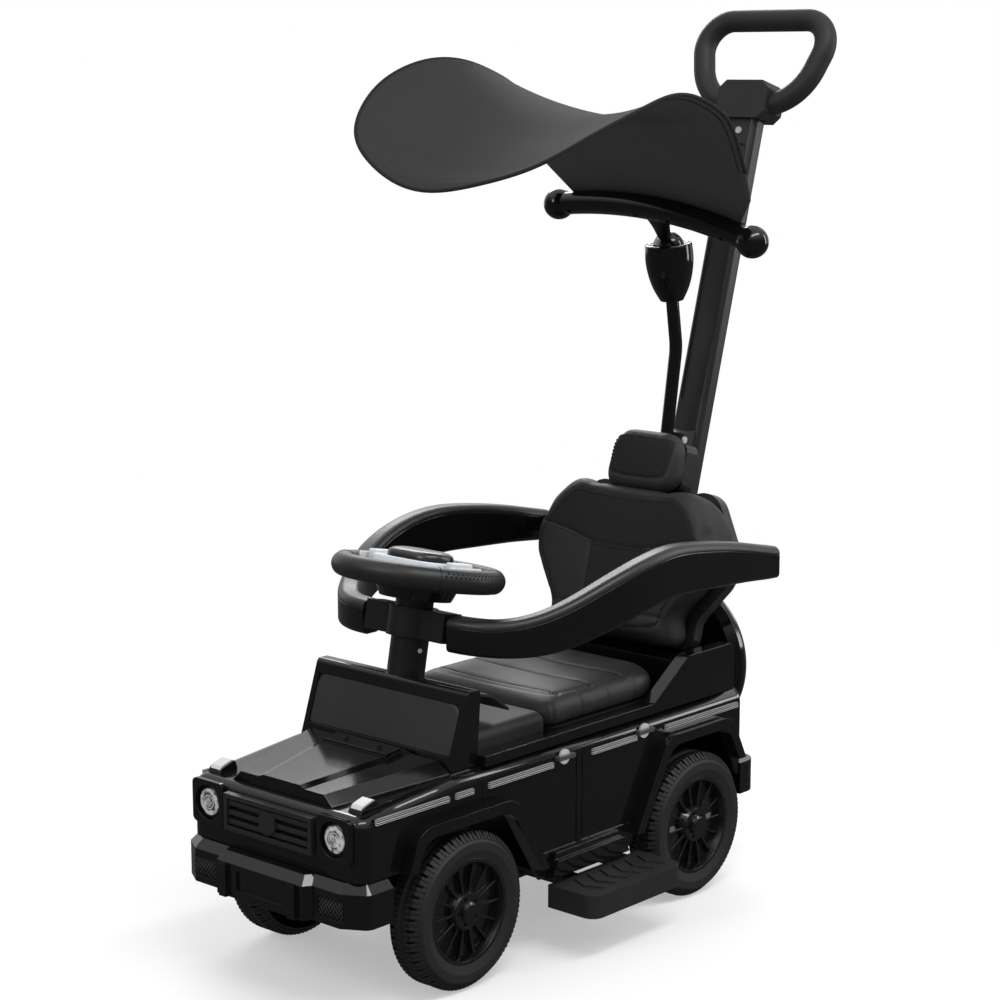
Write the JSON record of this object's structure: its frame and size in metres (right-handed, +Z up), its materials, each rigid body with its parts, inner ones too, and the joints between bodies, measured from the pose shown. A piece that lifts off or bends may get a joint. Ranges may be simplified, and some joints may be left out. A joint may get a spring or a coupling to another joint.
{
  "type": "push car with handle",
  "caption": "Child's ride-on push car: off-road car body on rolling wheels, steering wheel, guard ring, padded seat, parent push handle and a tilting canopy.",
  "frame": {"origin": "on the floor under the middle of the overall box", "axes": "+X forward, +Y to the car's left, +Z up"},
  "size_m": [0.8564, 0.38, 0.9842],
  "materials": {
    "tyre_black": "matte",
    "rim_black": "satin",
    "bare_steel": "plain",
    "gear_black": "matte",
    "tread_black": "matte",
    "body_black": "gloss",
    "trim_silver": "satin",
    "lever_black": "satin",
    "grille_black": "satin",
    "lens_clear": "clear",
    "cabin_black": "matte",
    "seat_leather": "grained",
    "rest_leather": "grained",
    "handle_black": "matte",
    "pole_black": "gloss",
    "wheel_black": "matte",
    "insert_grey": "matte",
    "horn_black": "satin",
    "sound_green": "matte",
    "canopy_fabric": "woven"
  },
  "bodies": {
    "chassis": {"rear_axle": "bare_steel", "front_beam": "gear_black", "floor_pan": "gear_black", "body_shell": "body_black", "arch_flares": "body_black", "sills": "body_black", "side_trims": "trim_silver", "door_handles": "lever_black", "hood": "body_black", "grille": "grille_black", "headlight_bezels": "grille_black", "headlight_lenses": "lens_clear", "turn_signals": "lens_clear", "front_bumper": "body_black", "rear_bumper": "body_black", "windshield": "body_black", "dash_brim": "cabin_black", "front_console": "cabin_black", "storage_tray": "gear_black", "backrest_shell": "cabin_black", "backrest_cushion": "rest_leather", "headrest_cushion": "rest_leather", "handle_post": "handle_black", "handle_loop": "handle_black", "handle_hub": "handle_black", "spare_wheel_cover": "body_black", "steering_tower": "cabin_black", "guard_collar": "cabin_black", "guard_arm_left": "body_black", "guard_arm_right": "body_black", "guard_caps": "cabin_black", "canopy_pole": "pole_black", "pole_bracket": "cabin_black", "canopy_cup": "body_black", "screws": "bare_steel"},
    "steering": {"steering_shaft": "bare_steel", "steering_rim": "wheel_black", "steering_insert": "insert_grey", "steering_bowl": "wheel_black", "sound_unit": "sound_green"},
    "horn": {"horn_pad": "horn_black"},
    "button_left": {"button_left": "insert_grey"},
    "button_right": {"button_right": "insert_grey"},
    "knuckle_left": {"knuckle_left": "gear_black"},
    "knuckle_right": {"knuckle_right": "gear_black"},
    "tie_rod": {"tie_rod": "gear_black"},
    "wheel_front_left": {"tyre_front_left": "tyre_black", "rim_front_left": "rim_black"},
    "wheel_front_right": {"tyre_front_right": "tyre_black", "rim_front_right": "rim_black"},
    "wheel_rear_left": {"tyre_rear_left": "tyre_black", "rim_rear_left": "rim_black"},
    "wheel_rear_right": {"tyre_rear_right": "tyre_black", "rim_rear_right": "rim_black"},
    "seat": {"seat_plate": "cabin_black", "seat_cushion": "seat_leather"},
    "footrest_left": {"footrest_left": "tread_black"},
    "footrest_right": {"footrest_right": "tread_black"},
    "canopy": {"canopy_crossbar": "body_black", "canopy_cloth": "canopy_fabric"}
  },
  "joints": [
    {"name": "steering_turn", "type": "hinge", "parent": "chassis", "child": "steering", "pos_m": [0.25117, 0, 0.0984], "axis": [-0.1908, 0, 0.9816], "range_deg": [-25, 25]},
    {"name": "horn_press", "type": "slide", "parent": "steering", "child": "horn", "axis": [-0.1908, 0, 0.9816], "range_m": [-0.0025, 0], "stiffness_N_per_m": 400, "springref_m": 0.002},
    {"name": "button_left_press", "type": "slide", "parent": "steering", "child": "button_left", "axis": [-0.1908, 0, 0.9816], "range_m": [-0.0015, 0], "stiffness_N_per_m": 300, "springref_m": 0.002},
    {"name": "button_right_press", "type": "slide", "parent": "steering", "child": "button_right", "axis": [-0.1908, 0, 0.9816], "range_m": [-0.0015, 0], "stiffness_N_per_m": 300, "springref_m": 0.002},
    {"name": "knuckle_left_turn", "type": "hinge", "parent": "chassis", "child": "knuckle_left", "pos_m": [0.2635, 0.084, 0.081], "axis": [0, 0, 1], "range_deg": [-15, 15]},
    {"name": "knuckle_right_turn", "type": "hinge", "parent": "chassis", "child": "knuckle_right", "pos_m": [0.2635, -0.084, 0.081], "axis": [0, 0, 1], "range_deg": [-15, 15]},
    {"name": "tie_rod_turn", "type": "hinge", "parent": "knuckle_left", "child": "tie_rod", "pos_m": [0.2335, 0.084, 0.0984], "axis": [0, 0, 1], "range_deg": [-15, 15]},
    {"name": "wheel_front_left_roll", "type": "hinge", "parent": "knuckle_left", "child": "wheel_front_left", "pos_m": [0.2635, 0.118, 0.081], "axis": [0, 1, 0], "continuous": true},
    {"name": "wheel_front_right_roll", "type": "hinge", "parent": "knuckle_right", "child": "wheel_front_right", "pos_m": [0.2635, -0.118, 0.081], "axis": [0, 1, 0], "continuous": true},
    {"name": "wheel_rear_left_roll", "type": "hinge", "parent": "chassis", "child": "wheel_rear_left", "pos_m": [-0.1135, 0.118, 0.081], "axis": [0, 1, 0], "continuous": true},
    {"name": "wheel_rear_right_roll", "type": "hinge", "parent": "chassis", "child": "wheel_rear_right", "pos_m": [-0.1135, -0.118, 0.081], "axis": [0, 1, 0], "continuous": true},
    {"name": "seat_lift", "type": "slide", "parent": "chassis", "child": "seat", "axis": [0, 0, 1], "range_m": [0, 0.1]},
    {"name": "footrest_left_slide", "type": "slide", "parent": "chassis", "child": "footrest_left", "axis": [0, 1, 0], "range_m": [-0.062, 0]},
    {"name": "footrest_right_slide", "type": "slide", "parent": "chassis", "child": "footrest_right", "axis": [0, -1, 0], "range_m": [-0.062, 0]},
    {"name": "canopy_tilt", "type": "hinge", "parent": "chassis", "child": "canopy", "pos_m": [-0.22394, 0, 0.71454], "axis": [0, 1, 0], "range_deg": [-30, 15]}
  ],
  "couplings": [
    {"joint": "knuckle_left_turn", "follows": "steering_turn", "ratio": 0.6},
    {"joint": "knuckle_right_turn", "follows": "steering_turn", "ratio": 0.6},
    {"joint": "tie_rod_turn", "follows": "steering_turn", "ratio": -0.6}
  ]
}
